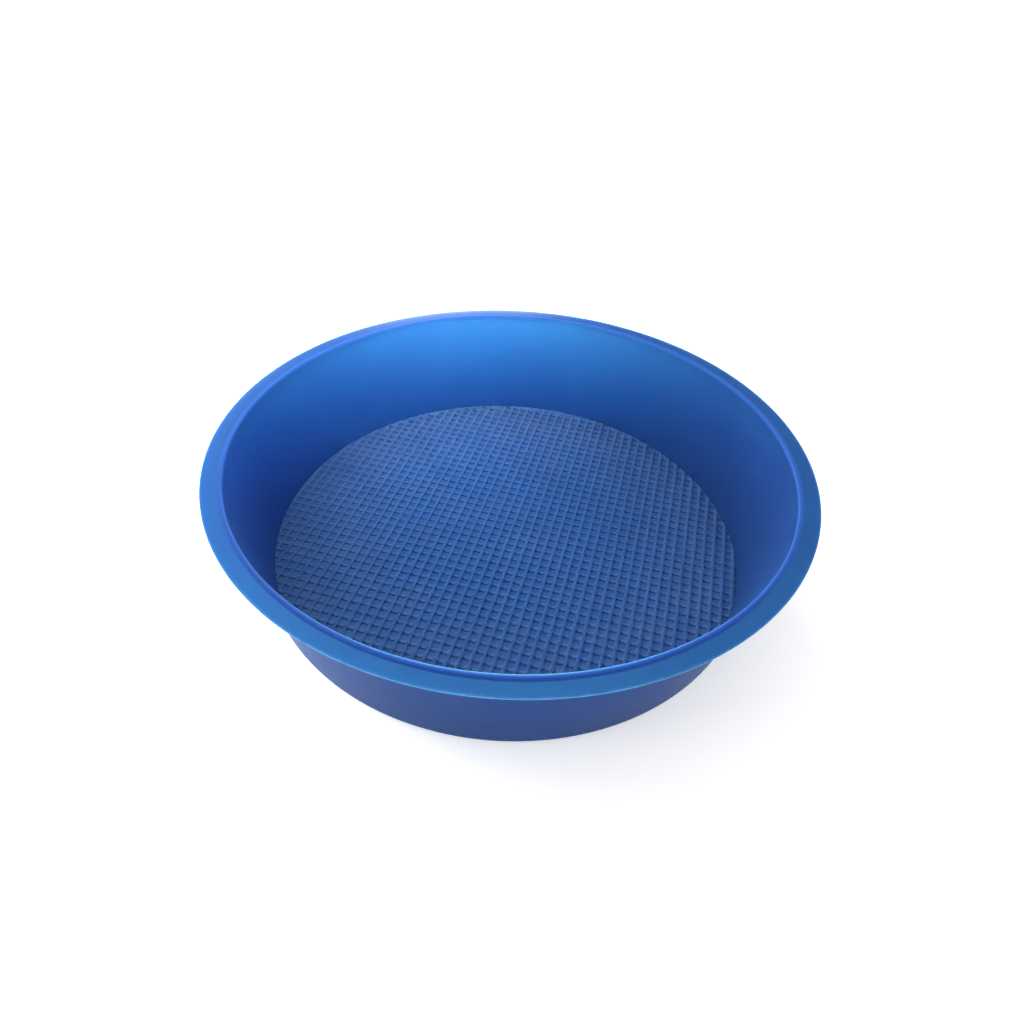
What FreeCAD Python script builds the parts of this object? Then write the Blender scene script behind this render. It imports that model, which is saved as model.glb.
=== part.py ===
import FreeCAD, Part
import math
import os

# Round prospecting pan with a trap net on its floor, for washing gravel and catching heavy grains.
# Two things make it up: the pan, one thin moulded tub with a flat flange, and the net, two layers
# of flat oval plastic strands laid crosswise and welded where they meet. The net is a loose disc.
# It lies on the floor and its cut edge is held down in a groove at the foot of the wall.
#
# Frame: +Z up, origin on the ground under the middle of the pan. Millimetres and degrees.

# Pan
pan_d = 355.6            # across the flange
pan_h = 77.4             # from the ground to the top of the flange
flange_w = 11.6          # from the flange's edge to the mouth
flange_t = 2.0
wall_draft = 11.6        # how far the inside of the wall leans out from upright
wall_t = 2.5             # wall under the flange
foot_wall_t = 4.4        # wall at the ground
floor_t = 2.0
foot_w = 12.0            # ring that the pan stands on, from its outer corner inwards
foot_lift = 0.4          # how far the floor inside that ring is off the ground

# Rounded corners of the pan
mouth_round = 1.0
flange_edge_round = 0.9
flange_root_round = 2.0
foot_round = 4.0

# Net
pitch = 6.35             # from one strand to the next in a layer
strand_w = 2.0
strand_t = 0.7
strand_round = 0.3
net_turn = -14.3         # how the net happens to lie, turned about +Z

# Groove that holds the net
lip_w = 1.2              # how far the lip of the wall reaches over the groove
net_edge_gap = 0.4       # between the cut edge of the net and the groove
net_top_gap = 0.4        # between the top of the net and the lip

# Heights
floor_z = foot_lift + floor_t
upper_layer_z = floor_z + strand_t
net_top_z = upper_layer_z + strand_t
lip_z = net_top_z + net_top_gap
flange_under_z = pan_h - flange_t

# Radii
pan_r = pan_d / 2
mouth_r = pan_r - flange_w


def inner_wall_r(z):
    """Radius of the inside of the wall at a height."""
    return mouth_r - (pan_h - z) * math.tan(math.radians(wall_draft))


def outer_wall_r(z, thickness):
    """Radius of the outside of the wall at a height, where the wall has this thickness."""
    return inner_wall_r(z) + thickness / math.cos(math.radians(wall_draft))


lip_r = inner_wall_r(lip_z)
groove_r = lip_r + lip_w
net_r = groove_r - net_edge_gap


def rounded_corner(before, corner, after, rounding):
    """Start, middle and end of the arc that rounds a corner between its two neighbours."""
    back = (before - corner).normalize()
    ahead = (after - corner).normalize()
    half_angle = back.getAngle(ahead) / 2
    reach = rounding / math.tan(half_angle)
    inwards = (back + ahead).normalize()
    middle = corner + inwards * (rounding / math.sin(half_angle) - rounding)
    return corner + back * reach, middle, corner + ahead * reach


def rounded_face(corners):
    """Flat face in the XZ plane. Each corner is (x, z, rounding), and 0 leaves it sharp."""
    points = [FreeCAD.Vector(x, 0, z) for x, z, rounding in corners]
    neighbours = zip(points[-1:] + points[:-1], points, points[1:] + points[:1])
    roundings = [rounding for x, z, rounding in corners]
    bends = [rounded_corner(*three, rounding) for three, rounding in zip(neighbours, roundings)]
    edges = []
    pen = bends[-1][-1]
    for (start, middle, end), rounding in zip(bends, roundings):
        edges.append(Part.LineSegment(pen, start).toShape())
        if rounding > 0:
            edges.append(Part.Arc(start, middle, end).toShape())
        pen = end
    return Part.Face(Part.Wire(edges))


def pan_body():
    """Tub with its flange, floor, foot ring and net groove, turned about the middle."""
    foot_outer_r = outer_wall_r(0, foot_wall_t)
    foot_inner_r = foot_outer_r - foot_w
    profile = rounded_face([
        (0, floor_z, 0),
        (groove_r, floor_z, 0),
        (groove_r, lip_z, 0),
        (lip_r, lip_z, 0),
        (mouth_r, pan_h, mouth_round),
        (pan_r, pan_h, flange_edge_round),
        (pan_r, flange_under_z, flange_edge_round),
        (outer_wall_r(flange_under_z, wall_t), flange_under_z, flange_root_round),
        (foot_outer_r, 0, foot_round),
        (foot_inner_r, 0, 0),
        (foot_inner_r, foot_lift, 0),
        (0, foot_lift, 0),
    ])
    return profile.revolve(FreeCAD.Vector(0, 0, 0), FreeCAD.Vector(0, 0, 1), 360)


def strand(offset, bottom_z):
    """One strand along Y, this far to the side of the middle, cut to the net's round outline."""
    left = offset - strand_w / 2
    right = offset + strand_w / 2
    top_z = bottom_z + strand_t
    section = rounded_face([
        (left, bottom_z, strand_round),
        (right, bottom_z, strand_round),
        (right, top_z, strand_round),
        (left, top_z, strand_round),
    ])
    section.translate(FreeCAD.Vector(0, -net_r, 0))
    bar = section.extrude(FreeCAD.Vector(0, 2 * net_r, 0))
    outline = Part.makeCylinder(net_r, strand_t, FreeCAD.Vector(0, 0, bottom_z))
    return bar.common(outline).Solids[0]


def layer(name, first_offset, bottom_z, direction):
    """Strands of one layer. The two that are equally far from the middle are alike: one node."""
    nodes = {}
    offset = first_offset
    while offset + strand_w / 2 < net_r:
        sides = sorted({offset, -offset})
        strands = [strand(side, bottom_z) for side in sides]
        for piece in strands:
            piece.rotate(FreeCAD.Vector(0, 0, 0), FreeCAD.Vector(0, 0, 1), direction + net_turn)
        nodes[f"{name}_strand_{len(nodes) + 1:02d}"] = Part.makeCompound(strands)
        offset += pitch
    return nodes


def main():
    nodes = {"pan_body": pan_body()}
    nodes.update(layer("lower", 0.0, floor_z, 90))
    nodes.update(layer("upper", pitch / 2, upper_layer_z, 0))
    os.makedirs("parts", exist_ok=True)
    for name, shape in nodes.items():
        shape.exportStep(f"parts/{name}.step")
        box = shape.BoundBox
        print(f"{name}: {len(shape.Solids)} solid(s), {shape.Volume:.1f} mm3, valid {shape.isValid()}, "
              f"z {box.ZMin:.2f} to {box.ZMax:.2f}")


main()
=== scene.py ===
import math

import bpy
from mathutils import Matrix, Vector


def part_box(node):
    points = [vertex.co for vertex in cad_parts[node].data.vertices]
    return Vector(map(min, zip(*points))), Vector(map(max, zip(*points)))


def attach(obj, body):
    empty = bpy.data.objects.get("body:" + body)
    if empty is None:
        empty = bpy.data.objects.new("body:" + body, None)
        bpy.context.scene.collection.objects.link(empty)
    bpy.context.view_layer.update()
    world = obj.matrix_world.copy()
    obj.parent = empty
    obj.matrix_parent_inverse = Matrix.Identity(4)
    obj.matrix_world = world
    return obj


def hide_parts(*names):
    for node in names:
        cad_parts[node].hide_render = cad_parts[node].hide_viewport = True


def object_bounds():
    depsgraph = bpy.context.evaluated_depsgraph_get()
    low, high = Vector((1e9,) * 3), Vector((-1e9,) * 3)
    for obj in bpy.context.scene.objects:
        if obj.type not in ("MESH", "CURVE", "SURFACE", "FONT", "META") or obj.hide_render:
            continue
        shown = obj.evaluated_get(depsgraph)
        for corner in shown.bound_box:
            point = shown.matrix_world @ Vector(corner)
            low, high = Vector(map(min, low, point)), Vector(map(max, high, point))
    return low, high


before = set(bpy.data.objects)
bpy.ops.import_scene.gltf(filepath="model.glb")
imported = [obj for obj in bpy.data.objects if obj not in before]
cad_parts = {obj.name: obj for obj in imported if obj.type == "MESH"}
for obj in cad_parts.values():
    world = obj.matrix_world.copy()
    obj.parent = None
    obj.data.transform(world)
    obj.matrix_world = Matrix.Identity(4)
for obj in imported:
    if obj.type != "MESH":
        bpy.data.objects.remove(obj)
CAD_LOW, CAD_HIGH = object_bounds()

bl_info = {
    "name": "Gold pan with trap net",
    "version": (1, 0, 0),
    "blender": (4, 5, 0),
    "location": "3D View > Sidebar > Gold pan",
    "description": "Builds a moulded prospecting pan, its welded trap net and a plain studio around them",
    "category": "Object",
}

MM = 0.001
BODY = "root"

CORNER_SEGMENTS = 6  # of each round corner of the pan
PAN_SMOOTH_ANGLE = 40  # degrees
NET_SMOOTH_ANGLE = 50  # degrees
PAN_SLACK = 0.1 * MM  # how far the pan may miss its node's box
NET_SLACK = 5 * MM  # the webs lengthen the cut ends of the outer strands
WEB_SHARES = (0.0, 0.35, 1.0)  # how far along a web its widths are set

# Sizes read from the frame, in metres
PAN_RADIUS = CAD_HIGH.x
PAN_HEIGHT = CAD_HIGH.z
LOWER_STRANDS = sorted(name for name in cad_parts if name.startswith("lower_strand"))
UPPER_STRANDS = sorted(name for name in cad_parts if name.startswith("upper_strand"))
FLOOR_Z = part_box(LOWER_STRANDS[0])[0].z
UPPER_LAYER_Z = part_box(UPPER_STRANDS[0])[0].z
NET_TOP_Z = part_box(UPPER_STRANDS[0])[1].z


# Sizes and colours that a user can change


def length(name, description, default):
    return bpy.props.FloatProperty(
        name=name, description=description, default=default, min=0, precision=5, unit="LENGTH"
    )


def turn(name, description, degrees):
    return bpy.props.FloatProperty(
        name=name, description=description, default=math.radians(degrees), unit="ROTATION"
    )


def colour(name, description, default):
    return bpy.props.FloatVectorProperty(
        name=name, description=description, default=default, min=0, max=1, size=3, subtype="COLOR"
    )


class PanSizes(bpy.types.PropertyGroup):
    """Sizes of the moulded pan."""

    flange_width: length("Flange width", "From the flange's edge to the mouth", 11.6 * MM)
    flange_thickness: length("Flange thickness", "Thickness of the flange", 2.0 * MM)
    wall_draft: turn("Wall draft", "How far the inside of the wall leans out", 11.6)
    wall_thickness: length("Wall thickness", "Thickness of the wall under the flange", 2.5 * MM)
    foot_wall_thickness: length("Foot wall", "Thickness of the wall at the ground", 4.4 * MM)
    foot_width: length("Foot width", "Width of the ring that the pan stands on", 12.0 * MM)
    foot_lift: length("Foot lift", "Height of the floor's underside off the ground", 0.4 * MM)
    lip_width: length("Lip width", "How far the wall reaches over the net's edge", 1.2 * MM)
    lip_gap: length("Lip gap", "Room between the net and the lip", 0.4 * MM)
    mouth_round: length("Mouth rounding", "Radius of the mouth's edge", 1.0 * MM)
    flange_round: length("Flange rounding", "Radius of the flange's edges", 0.9 * MM)
    root_round: length("Root rounding", "Radius between flange and wall", 2.0 * MM)
    foot_round: length("Foot rounding", "Radius of the pan's lower corner", 4.0 * MM)
    gate_radius: length("Gate radius", "Radius of the moulding gate's stub", 1.8 * MM)
    gate_height: length("Gate height", "Height of the moulding gate's stub", 0.25 * MM)
    steps: bpy.props.IntProperty(
        name="Steps", description="Straight steps that each ring is drawn with", default=256, min=32
    )


class NetSizes(bpy.types.PropertyGroup):
    """Sizes of the trap net."""

    pitch: length("Pitch", "From one strand to the next", 6.35 * MM)
    strand_width: length("Strand width", "Width of a strand between crossings", 2.0 * MM)
    strand_round: length("Strand rounding", "Radius of a strand's long edges", 0.25 * MM)
    edge_gap: length("Edge gap", "Between the net's cut edge and its groove", 0.4 * MM)
    weld_round: length("Weld rounding", "Radius of the web in each corner of a mesh", 0.5 * MM)
    net_turn: turn("Net turn", "How the net happens to lie", -14.3)


class Finishes(bpy.types.PropertyGroup):
    """Colours of the two plastics, of the shade painted on the floor under the net and of the studio floor.
    """

    pan: colour("Pan", "Blue of the moulded pan", (0.013, 0.044, 0.150))
    net: colour("Net", "Blue of the extruded net", (0.033, 0.103, 0.300))
    # Painted shade: the pan floor under the net is painted this darker blue to stand for the shade between
    # and under the strands
    shade: colour("Pan floor", "Deeper blue of the floor under the net", (0.018, 0.067, 0.265))
    silt: colour("Silt", "Dried silt left on the floor", (0.200, 0.210, 0.230))
    ground: colour("Studio floor", "Pale studio floor", (0.960, 0.960, 0.960))


class StudioSettings(bpy.types.PropertyGroup):
    """Camera and lights."""

    distance: length("Camera distance", "From the camera to the point it aims at", 402.0 * MM)
    elevation: turn("Camera elevation", "How far the camera looks down", 41.89)
    roll: turn("Camera roll", "How far the camera leans", 2.62)
    lens: bpy.props.FloatProperty(
        name="Lens", description="Focal length on a 36 mm sensor", default=23.42, unit="CAMERA"
    )
    shift: bpy.props.FloatProperty(name="Shift", description="Sideways lens shift", default=0.0127)


# Modelling helpers


def only(piece):
    """Makes a piece the one that is selected and active."""
    bpy.ops.object.select_all(action="DESELECT")
    piece.select_set(True)
    bpy.context.view_layer.objects.active = piece


def pick(piece, kind, test):
    """In edit mode, selects only the vertices, edges or faces whose corner points pass the test."""
    bpy.ops.mesh.select_mode(type=kind)
    bpy.ops.mesh.select_all(action="DESELECT")
    bpy.ops.object.mode_set(mode="OBJECT")
    mesh = piece.data
    if kind == "VERT":
        for vertex in mesh.vertices:
            vertex.select = test([vertex.co])
    else:
        for part in mesh.edges if kind == "EDGE" else mesh.polygons:
            part.select = test([mesh.vertices[i].co for i in part.vertices])
    bpy.ops.object.mode_set(mode="EDIT")


def near(value, target):
    return abs(value - target) < 0.01 * MM


def on_ring(radius, z):
    """A test that passes for a ring about the middle, at this radius and height."""
    return lambda points: all(near(p.xy.length, radius) and near(p.z, z) for p in points)


def shade(piece, degrees):
    only(piece)
    bpy.ops.object.shade_smooth_by_angle(angle=math.radians(degrees))


def check_box(piece, node, slack):
    """Stops the script if a piece leaves its node's box, or doesn't fill it, by more than the slack."""
    points = [v.co for v in piece.data.vertices]
    for side, corner, extreme in zip((min, max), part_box(node), (-1, 1)):
        for axis in range(3):
            reach = side(p[axis] for p in points)
            if abs(reach - corner[axis]) > slack:
                raise RuntimeError(f"{piece.name} misses the box of {node} by {reach - corner[axis]:.5f} m")


def finish_piece(piece, node, material, slack):
    """Gives a piece its material and hands it to the frame in place of its node."""
    piece.data.materials.clear()
    piece.data.materials.append(material)
    check_box(piece, node, slack)
    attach(piece, BODY)
    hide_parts(node)


# The pan


def draw_ring(radius, z, steps):
    """Starts a mesh with one ring of vertices and leaves it selected in edit mode."""
    bpy.ops.object.select_all(action="DESELECT")
    bpy.ops.mesh.primitive_circle_add(vertices=steps, radius=radius, fill_type="NOTHING")
    bpy.ops.object.mode_set(mode="EDIT")
    bpy.ops.transform.translate(value=(0, 0, z))
    return bpy.context.object


def extrude_ring(last, radius, z):
    """Extrudes the selected ring to a new radius and height."""
    last_radius, last_z = last
    bpy.ops.mesh.extrude_edges_move(TRANSFORM_OT_translate={"value": (0, 0, z - last_z)})
    scale = radius / last_radius
    bpy.ops.transform.resize(value=(scale, scale, 1), center_override=(0, 0, z))


def round_ring(piece, before, corner, after, rounding):
    """Bevels a ring to a round corner of this radius, between the profile points beside it."""
    corner, before, after = Vector(corner), Vector(before), Vector(after)
    half_angle = (before - corner).angle(after - corner) / 2
    pick(piece, "EDGE", on_ring(*corner))
    bpy.ops.mesh.bevel(
        offset=rounding / math.tan(half_angle),
        offset_type="OFFSET",
        segments=CORNER_SEGMENTS,
        affect="EDGES",
    )


def pan_profile(sizes):
    """Corners of the pan's section, from the gate's stub outwards: (radius, height, rounding)."""
    lean = math.tan(sizes.wall_draft)
    slant = math.cos(sizes.wall_draft)
    mouth = PAN_RADIUS - sizes.flange_width
    flange_under = PAN_HEIGHT - sizes.flange_thickness
    lip_z = NET_TOP_Z + sizes.lip_gap
    lip = mouth - (PAN_HEIGHT - lip_z) * lean
    wall_top = mouth - sizes.flange_thickness * lean + sizes.wall_thickness / slant
    foot = mouth - PAN_HEIGHT * lean + sizes.foot_wall_thickness / slant
    foot_inner = foot - sizes.foot_width
    gate = sizes.gate_radius
    return [
        (gate, sizes.foot_lift - sizes.gate_height, 0),
        (gate, sizes.foot_lift, 0),
        (foot_inner, sizes.foot_lift, 0),
        (foot_inner, 0, 0),
        (foot, 0, sizes.foot_round),
        (wall_top, flange_under, sizes.root_round),
        (PAN_RADIUS, flange_under, sizes.flange_round),
        (PAN_RADIUS, PAN_HEIGHT, sizes.flange_round),
        (mouth, PAN_HEIGHT, sizes.mouth_round),
        (lip, lip_z, 0),
        (lip + sizes.lip_width, lip_z, 0),
        (lip + sizes.lip_width, FLOOR_Z, 0),
        (gate, FLOOR_Z, 0),
    ]


def close_pole(piece, radius, z):
    """Fills a ring with triangles that meet in the middle."""
    pick(piece, "EDGE", on_ring(radius, z))
    bpy.ops.mesh.extrude_edges_move()
    bpy.ops.mesh.merge(type="CENTER")


class GOLDPAN_OT_pan(bpy.types.Operator):
    """Draw the pan ring by ring, round its corners and close it."""

    bl_idname = "gold_pan.pan"
    bl_label = "Pan"

    def execute(self, context):
        sizes = context.scene.pan_sizes
        profile = pan_profile(sizes)
        piece = draw_ring(*profile[0][:2], sizes.steps)
        piece.name = "pan"
        for last, corner in zip(profile, profile[1:]):
            extrude_ring(last[:2], *corner[:2])
        for before, corner, after in zip(profile, profile[1:], profile[2:]):
            if corner[2] > 0:
                round_ring(piece, before[:2], corner[:2], after[:2], corner[2])
        close_pole(piece, *profile[0][:2])
        close_pole(piece, *profile[-1][:2])
        bpy.ops.mesh.select_all(action="SELECT")
        bpy.ops.mesh.normals_make_consistent(inside=False)
        bpy.ops.object.mode_set(mode="OBJECT")
        shade(piece, PAN_SMOOTH_ANGLE)
        material = pan_plastic(context.scene.finishes, PAN_RADIUS - sizes.flange_width)
        finish_piece(piece, "pan_body", material, PAN_SLACK)
        return {"FINISHED"}


# The net


def points_level(points):
    """True if all the points have one Y."""
    return all(near(p.y, points[0].y) for p in points)


def cell_of_strand(sizes, thickness):
    """One pitch of a strand along Y, open at both ends, wider where it is welded to a strand across."""
    bpy.ops.object.select_all(action="DESELECT")
    bpy.ops.mesh.primitive_cube_add(size=1)
    piece = bpy.context.object
    bpy.ops.object.mode_set(mode="EDIT")
    bpy.ops.transform.resize(value=(sizes.strand_width, sizes.pitch, thickness))
    end = sizes.pitch / 2
    pick(piece, "FACE", lambda points: all(near(abs(p.y), end) for p in points) and points_level(points))
    bpy.ops.mesh.delete(type="ONLY_FACE")
    pick(piece, "EDGE", lambda points: not near(points[0].y, points[1].y))
    bpy.ops.mesh.bevel(offset=sizes.strand_round, offset_type="OFFSET", segments=2, affect="EDGES")
    half_width = sizes.strand_width / 2
    web = sizes.weld_round
    for share in WEB_SHARES:
        for side in (-1, 1):
            y = side * (half_width + web * share)
            bpy.ops.mesh.select_all(action="SELECT")
            bpy.ops.mesh.bisect(plane_co=(0, y, 0), plane_no=(0, 1, 0))
    for share in WEB_SHARES[:-1]:
        y = half_width + web * share
        spread = web - math.sqrt(web**2 - (web * (1 - share)) ** 2)
        pick(piece, "VERT", lambda points: near(abs(points[0].y), y))
        widen = (half_width + spread) / half_width
        bpy.ops.transform.resize(value=(widen, 1, 1), center_override=(0, 0, 0))
    bpy.ops.object.mode_set(mode="OBJECT")
    return piece


def long_strand(sizes, thickness, cells):
    """A strand of this many cells, centred on the origin. The seams between the cells stay open."""
    piece = cell_of_strand(sizes, thickness)
    only(piece)
    repeat = piece.modifiers.new("Cells", "ARRAY")
    repeat.count = cells
    repeat.use_relative_offset = False
    repeat.use_constant_offset = True
    repeat.constant_offset_displace = (0, sizes.pitch, 0)
    repeat.use_merge_vertices = True
    bpy.ops.object.modifier_apply(modifier=repeat.name)
    bpy.ops.object.mode_set(mode="EDIT")
    bpy.ops.mesh.select_all(action="SELECT")
    bpy.ops.transform.translate(value=(0, -(cells - 1) / 2 * sizes.pitch, 0))
    bpy.ops.object.mode_set(mode="OBJECT")
    return piece


def cut_strand(pattern, offset, z, width, net_radius):
    """A copy of the long strand, moved aside and cut to the net's round outline."""
    piece = pattern.copy()
    piece.data = pattern.data.copy()
    bpy.context.collection.objects.link(piece)
    only(piece)
    bpy.ops.object.mode_set(mode="EDIT")
    bpy.ops.mesh.select_all(action="SELECT")
    bpy.ops.transform.translate(value=(offset, 0, z))
    for aside in (-width / 2, 0, width / 2):
        x = offset + aside
        reach = math.sqrt(net_radius**2 - x**2)
        for end in (-reach, reach):
            bpy.ops.mesh.select_all(action="SELECT")
            bpy.ops.mesh.bisect(plane_co=(x, end, z), plane_no=(x, end, 0), use_fill=True, clear_outer=True)
    bpy.ops.object.mode_set(mode="OBJECT")
    return piece


def strand_pair(pattern, name, offset, z, width, net_radius, direction):
    """The strands of a layer that are this far from the middle, as one piece, turned into place."""
    strands = [cut_strand(pattern, side, z, width, net_radius) for side in sorted({offset, -offset})]
    piece = strands[0]
    only(piece)
    if len(strands) > 1:
        strands[1].select_set(True)
        bpy.ops.object.join()
    bpy.ops.object.mode_set(mode="EDIT")
    bpy.ops.mesh.select_all(action="SELECT")
    bpy.ops.mesh.normals_make_consistent(inside=False)
    bpy.ops.object.mode_set(mode="OBJECT")
    piece.rotation_euler.z = direction
    bpy.ops.object.transform_apply(location=False, rotation=True, scale=False)
    piece.name = name
    shade(piece, NET_SMOOTH_ANGLE)
    return piece


def build_layer(context, nodes, first_offset, bottom_z, top_z, direction, cells):
    """Models the strands of one layer, each in place of its node."""
    sizes = context.scene.net_sizes
    groove_radius = pan_profile(context.scene.pan_sizes)[-2][0]
    net_radius = groove_radius - sizes.edge_gap
    material = net_plastic(context.scene.finishes)
    pattern = long_strand(sizes, top_z - bottom_z, cells)
    middle_z = (bottom_z + top_z) / 2
    for i, node in enumerate(nodes):
        offset = first_offset + i * sizes.pitch
        name = node.replace("strand", "net")
        piece = strand_pair(pattern, name, offset, middle_z, sizes.strand_width, net_radius, direction)
        finish_piece(piece, node, material, NET_SLACK)
    bpy.data.objects.remove(pattern)


class GOLDPAN_OT_lower_strands(bpy.types.Operator):
    """Model the net's lower layer, the strands that lie on the floor."""

    bl_idname = "gold_pan.lower_strands"
    bl_label = "Lower strands"

    def execute(self, context):
        sizes = context.scene.net_sizes
        cells = 2 * math.ceil(PAN_RADIUS / sizes.pitch)
        across = sizes.net_turn + math.pi / 2
        build_layer(context, LOWER_STRANDS, 0.0, FLOOR_Z, UPPER_LAYER_Z, across, cells)
        return {"FINISHED"}


class GOLDPAN_OT_upper_strands(bpy.types.Operator):
    """Model the net's upper layer, the strands that lie across the lower ones."""

    bl_idname = "gold_pan.upper_strands"
    bl_label = "Upper strands"

    def execute(self, context):
        sizes = context.scene.net_sizes
        cells = 2 * math.ceil(PAN_RADIUS / sizes.pitch) + 1
        start = sizes.pitch / 2
        build_layer(context, UPPER_STRANDS, start, UPPER_LAYER_Z, NET_TOP_Z, sizes.net_turn, cells)
        return {"FINISHED"}


# Shaders


class Value:
    """A shader socket that can be reckoned with: each operator adds a Math node."""

    def __init__(self, shader, socket):
        self.shader = shader
        self.socket = socket

    def math(self, operation, *others):
        values = dict(enumerate((self, *others)))
        return self.shader.node("ShaderNodeMath", {"operation": operation}, values)

    def __add__(self, other):
        return self.math("ADD", other)

    def __sub__(self, other):
        return self.math("SUBTRACT", other)

    def __rsub__(self, other):
        return self.shader.node("ShaderNodeMath", {"operation": "SUBTRACT"}, {0: other, 1: self})

    def __mul__(self, other):
        return self.math("MULTIPLY", other)

    def __truediv__(self, other):
        return self.math("DIVIDE", other)

    __radd__ = __add__
    __rmul__ = __mul__

    def between(self, low, high):
        """0 below low, 1 above high and smooth in between."""
        return self.shader.node(
            "ShaderNodeMapRange",
            {"interpolation_type": "SMOOTHSTEP"},
            {"Value": self, "From Min": low, "From Max": high},
        )


class Shader:
    """A material with a Principled shader, and the nodes that drive it."""

    def __init__(self, name):
        self.material = bpy.data.materials.new(name)
        self.material.use_nodes = True
        self.tree = self.material.node_tree
        self.surface = self.tree.nodes["Principled BSDF"]
        place = self.node("ShaderNodeTexCoord", {}, {}, "Object")
        self.place = place
        self.x, self.y, self.z = (self.node("ShaderNodeSeparateXYZ", {}, {0: place}, axis) for axis in "XYZ")

    def node(self, kind, settings, values, output=0):
        made = self.tree.nodes.new(kind)
        for name, setting in settings.items():
            setattr(made, name, setting)
        for name, value in values.items():
            self.feed(made.inputs[name], value)
        return Value(self, made.outputs[output])

    def feed(self, socket, value):
        if isinstance(value, Value):
            self.tree.links.new(value.socket, socket)
        elif socket.type == "RGBA":
            socket.default_value = (*value, 1)
        else:
            socket.default_value = value

    def set(self, **values):
        """Sets the surface's sockets. An underscore in a name stands for a space."""
        for name, value in values.items():
            self.feed(self.surface.inputs[name.replace("_", " ")], value)

    def noise(self, place, scale, detail, roughness=0.5):
        values = {"Vector": place, "Scale": scale, "Detail": detail, "Roughness": roughness}
        return self.node("ShaderNodeTexNoise", {}, values)

    def vector(self, x, y, z):
        return self.node("ShaderNodeCombineXYZ", {}, {"X": x, "Y": y, "Z": z})

    def mix(self, share, first, second):
        """Colour mix: 0 gives the first, 1 the second."""
        return self.node("ShaderNodeMix", {"data_type": "RGBA"}, {0: share, 6: first, 7: second}, 2)

    def radius(self):
        """Distance from the pan's upright axis."""
        outwards = self.vector(self.x, self.y, 0.0)
        return self.node("ShaderNodeVectorMath", {"operation": "LENGTH"}, {0: outwards}, "Value")

    def bump(self, height, distance):
        values = {"Height": height, "Distance": distance, "Strength": 1.0}
        self.set(Normal=self.node("ShaderNodeBump", {}, values))


def tinted(base, factor):
    """A colour made lighter or darker."""
    return tuple(min(1.0, channel * factor) for channel in base)


# Both plastics: a dull satin skin over a body that light passes through
PLASTIC = {
    "IOR": 1.49,
    "Specular_IOR_Level": 0.02,
    "Specular_Tint": (0.35, 0.60, 1.0),
    "Subsurface_Weight": 1.0,
}


def silt_film(s):
    """How much dried silt dulls the floor and the net: patchy, and more of it towards the wall."""
    patchiness = 0.04
    film_at_wall = 0.07
    patches = s.noise(s.place, scale=45, detail=4, roughness=0.6).between(0.3, 0.75) * patchiness
    outwards = s.radius().between(50 * MM, 150 * MM)
    return patches + outwards * (patches + film_at_wall)


def pan_plastic(finishes, mouth):
    """Satin moulded plastic, with flow marks, swirl scratches inside, scuffed edges, silt and painted shade
    on the floor under the net, and painted light beside the mouth.
    """
    s = Shader("pan_finish")
    radius = s.radius()

    # Places on the pan: 1 there and 0 elsewhere
    inside = 1 - radius.between(mouth - 0.5 * MM, mouth + 0.5 * MM)
    flange_edge = radius.between(PAN_RADIUS - 1.4 * MM, PAN_RADIUS - 0.1 * MM)
    by_mouth = 1 - radius.between(mouth, mouth + 1.2 * MM)
    mouth_edge = by_mouth * s.z.between(PAN_HEIGHT - 1.2 * MM, PAN_HEIGHT)
    above_floor = s.z.between(FLOOR_Z, FLOOR_Z + 0.6 * MM)
    on_floor = (1 - above_floor) * s.z.between(FLOOR_Z - 0.6 * MM, FLOOR_Z)
    # Painted light: the flange and rounded edge beside the mouth are painted lighter, to lift the shade that
    # the wall beneath puts in the translucent flange
    on_top = s.z.between(PAN_HEIGHT - 2.5 * MM, PAN_HEIGHT - 0.8 * MM)
    painted_mouth_light = on_top * (1 - radius.between(mouth + 0.5 * MM, mouth + 3.5 * MM))

    # Marks: scratches run round the pan, so their noise is fine along z and radius only
    grain = s.noise(s.place, scale=1800, detail=3)
    flow = s.noise(s.place, scale=14, detail=3, roughness=0.6)
    along = 2.5
    across = 900
    round_trip = s.vector(s.x / radius * along, s.y / radius * along, (s.z * 0.9 + radius * 0.6) * across)
    scratches = s.noise(round_trip, scale=1, detail=4, roughness=0.7).between(0.56, 0.72) * inside
    worn = s.noise(s.place, scale=160, detail=4, roughness=0.6).between(0.48, 0.66)
    scuff = (flange_edge + mouth_edge) * worn
    silt = on_floor * silt_film(s)

    base = finishes.pan
    # light_blue paints the scratches, which are wear, and also the painted light beside the mouth
    light_blue = tinted(base, 1.7)
    worn_blue = tinted(base, 1.9)
    moulded = s.mix(flow.between(0.3, 0.7), tinted(base, 0.95), tinted(base, 1.05))
    with_mouth_light = s.mix(painted_mouth_light, moulded, light_blue)
    scratched = s.mix(scratches * 0.12, with_mouth_light, light_blue)
    scuffed = s.mix(scuff * 0.35, scratched, worn_blue)
    # Painted shade: the pan floor under the net takes the darker shade colour
    with_floor_shade = s.mix(on_floor, scuffed, finishes.shade)
    s.set(
        **PLASTIC,
        Base_Color=s.mix(silt, with_floor_shade, finishes.silt),
        Roughness=0.36 + flow * 0.08 + scratches * 0.10 + scuff * 0.12 + silt * 0.5,
        Subsurface_Radius=(0.55, 0.72, 1.0),
        Subsurface_Scale=18 * MM,
    )
    s.bump(grain * 0.5 + scratches * 0.3 + flow * 0.4, 0.05 * MM)
    return s.material


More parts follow.
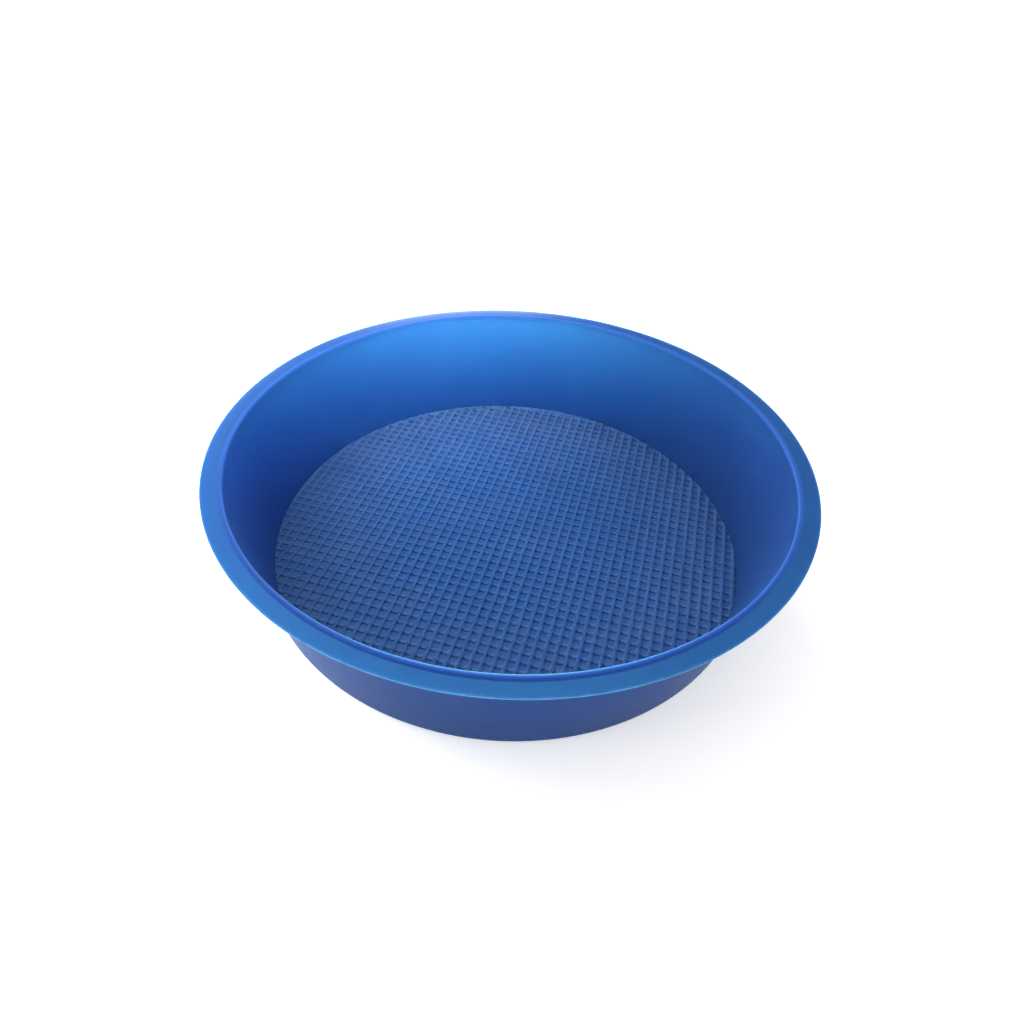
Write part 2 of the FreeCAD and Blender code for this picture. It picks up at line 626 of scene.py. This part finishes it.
def net_plastic(finishes):
    """Satin extruded plastic that both layers of the net share, with dried silt on it."""
    name = "net_finish"
    if name in bpy.data.materials:
        return bpy.data.materials[name]
    s = Shader(name)
    grain = s.noise(s.place, scale=2200, detail=3)
    patches = s.noise(s.place, scale=30, detail=3, roughness=0.6)
    base = finishes.net
    blue = s.mix(patches.between(0.3, 0.7), tinted(base, 0.94), tinted(base, 1.07))
    silt = silt_film(s)
    s.set(
        **PLASTIC,
        Base_Color=s.mix(silt, blue, finishes.silt),
        Roughness=0.34 + patches * 0.10 + silt * 0.5,
        Subsurface_Radius=(0.45, 0.75, 1.0),
        Subsurface_Scale=3 * MM,
    )
    s.bump(grain, 0.04 * MM)
    return s.material


def studio_floor(finishes):
    """Matt pale floor with the faintest mottling and a faint glow."""
    s = Shader("studio_floor")
    mottle = s.noise(s.place, scale=9, detail=3)
    base = finishes.ground
    s.set(
        Base_Color=s.mix(mottle, tinted(base, 0.985), base),
        Roughness=0.85 + mottle * 0.05,
        Emission_Color=(1.0, 1.0, 1.0),
        Emission_Strength=0.35,
    )
    s.bump(s.noise(s.place, scale=700, detail=3), 0.02 * MM)
    return s.material


# The studio

GROUND_SIZE = 14
WORLD_STRENGTH = 0.85
CAMERA_AIM = Vector((-5.8 * MM, -29.2 * MM, 44.8 * MM))
MIDDLE = (0.0, 0.0, 0.04)

# Soft lamps: name, place, aim, width, spread in degrees and power. Those behind shine through the wall.
LAMPS = (
    ("back", (-0.08, 0.60, 0.16), MIDDLE, 0.25, 180, 3.8),
    ("back_left", (-0.40, 0.50, 0.14), MIDDLE, 0.2, 180, 0.8),
    ("left", (-0.36, 0.00, 0.28), MIDDLE, 0.2, 180, 0.9),
    ("left_far", (-0.75, 0.10, 0.30), MIDDLE, 0.4, 180, 2.0),
    ("front_left", (-0.36, -0.22, 0.12), MIDDLE, 0.15, 180, 0.45),
    ("over", (-0.25, 0.30, 0.50), MIDDLE, 0.3, 180, 0.7),
    ("right", (1.56, 0.00, 0.37), MIDDLE, 0.8, 180, 3.0),
    ("spot", (0.12, -0.30, 0.80), (-0.07, 0.14, 0.04), 0.12, 22, 0.16),
)


def area_light(name, place, aim, size, spread, power):
    """A soft square lamp that doesn't show itself."""
    light = bpy.data.lights.new(name, "AREA")
    light.size = size
    light.spread = math.radians(spread)
    light.energy = power
    lamp = bpy.data.objects.new(name, light)
    bpy.context.collection.objects.link(lamp)
    lamp.location = place
    lamp.rotation_euler = (Vector(aim) - Vector(place)).to_track_quat("-Z", "Y").to_euler()
    lamp.visible_camera = False


def add_camera(settings):
    """Camera that looks along +Y and down, leaning a little."""
    camera = bpy.data.cameras.new("camera")
    camera.sensor_width = 36
    camera.lens = settings.lens
    camera.shift_x = settings.shift
    camera.clip_start = 0.01
    holder = bpy.data.objects.new("camera", camera)
    bpy.context.collection.objects.link(holder)
    down = settings.elevation
    forward = Vector((0, math.cos(down), -math.sin(down)))
    upright = forward.to_track_quat("-Z", "Y").to_matrix().to_4x4()
    lean = Matrix.Rotation(settings.roll, 4, "Z")
    holder.matrix_world = Matrix.Translation(CAMERA_AIM - forward * settings.distance) @ upright @ lean
    bpy.context.scene.camera = holder


class GOLDPAN_OT_studio(bpy.types.Operator):
    """Lay a pale floor and set up the camera and soft lights."""

    bl_idname = "gold_pan.studio"
    bl_label = "Studio"

    def execute(self, context):
        bpy.ops.object.select_all(action="DESELECT")
        bpy.ops.mesh.primitive_plane_add(size=GROUND_SIZE)
        ground = context.object
        ground.name = "studio_floor"
        ground.data.materials.append(studio_floor(context.scene.finishes))
        add_camera(context.scene.studio)
        for lamp in LAMPS:
            area_light(*lamp)
        world = bpy.data.worlds.new("studio")
        world.use_nodes = True
        sky = world.node_tree.nodes["Background"]
        sky.inputs["Color"].default_value = (1, 1, 1, 1)
        sky.inputs["Strength"].default_value = WORLD_STRENGTH
        context.scene.world = world
        context.scene.view_settings.view_transform = "Standard"
        return {"FINISHED"}


# Add-on


class GOLDPAN_PT_panel(bpy.types.Panel):
    """Sizes, finishes and the steps that build the pan."""

    bl_idname = "GOLDPAN_PT_panel"
    bl_label = "Gold pan"
    bl_space_type = "VIEW_3D"
    bl_region_type = "UI"
    bl_category = "Gold pan"

    def draw(self, context):
        for group in GROUPS:
            for name in GROUPS[group].__annotations__:
                self.layout.prop(getattr(context.scene, group), name)
        for step in STEPS:
            self.layout.operator(step.bl_idname)


GROUPS = {
    "pan_sizes": PanSizes,
    "net_sizes": NetSizes,
    "finishes": Finishes,
    "studio": StudioSettings,
}
STEPS = (GOLDPAN_OT_pan, GOLDPAN_OT_lower_strands, GOLDPAN_OT_upper_strands, GOLDPAN_OT_studio)


def register():
    for made in (*GROUPS.values(), *STEPS, GOLDPAN_PT_panel):
        bpy.utils.register_class(made)
    for name, group in GROUPS.items():
        setattr(bpy.types.Scene, name, bpy.props.PointerProperty(type=group))


def unregister():
    for name in GROUPS:
        delattr(bpy.types.Scene, name)
    for made in (GOLDPAN_PT_panel, *reversed(STEPS), *GROUPS.values()):
        bpy.utils.unregister_class(made)


def main():
    register()
    bpy.ops.gold_pan.pan()
    bpy.ops.gold_pan.lower_strands()
    bpy.ops.gold_pan.upper_strands()
    bpy.ops.gold_pan.studio()


if __name__ == "__main__":
    main()
